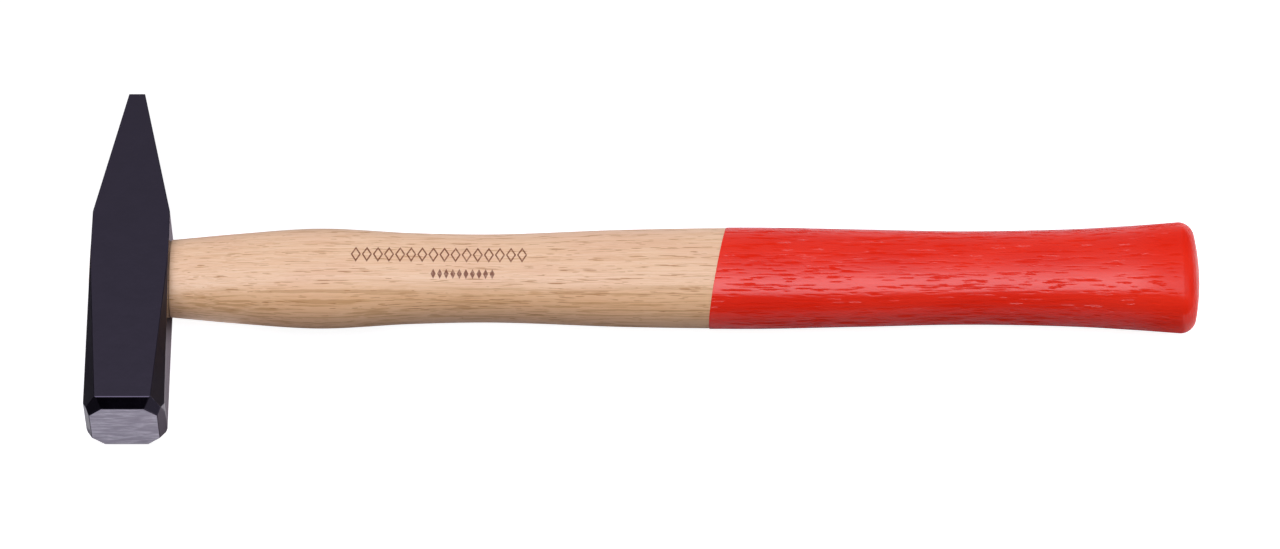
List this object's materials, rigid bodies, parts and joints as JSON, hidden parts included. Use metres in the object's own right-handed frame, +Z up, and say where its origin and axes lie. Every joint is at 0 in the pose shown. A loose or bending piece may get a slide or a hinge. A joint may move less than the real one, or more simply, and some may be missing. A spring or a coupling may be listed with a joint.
{
  "type": "engineer's hammer",
  "caption": "Cross-pein engineer's hammer: chamfered square steel head, oval hickory handle with a flared butt, dipped lacquer grip, wooden wedge and steel ring wedge in the eye.",
  "frame": {"origin": "on the head's lower cheek, straight below the centre of the eye, so that z = 0 is the plane the hammer lies on", "axes": "+X along the handle from the head to the butt, +Y toward the pein, +Z up out of the upper cheek"},
  "size_m": [0.316, 0.105, 0.023],
  "materials": {
    "lacquered_steel": "glossy black lacquer over forged steel, with the striking face ground bare",
    "hickory": "pale, open-pored, thin clear oil",
    "wedge_wood": "end grain, dry",
    "bare_steel": "turned, dull",
    "red_lacquer": "glossy dipped lacquer through which the grain shows"
  },
  "bodies": {
    "root": {"head": "lacquered_steel", "handle": "hickory", "wooden_wedge": "wedge_wood", "ring_wedge": "bare_steel", "grip_lacquer": "red_lacquer"}
  },
  "joints": []
}
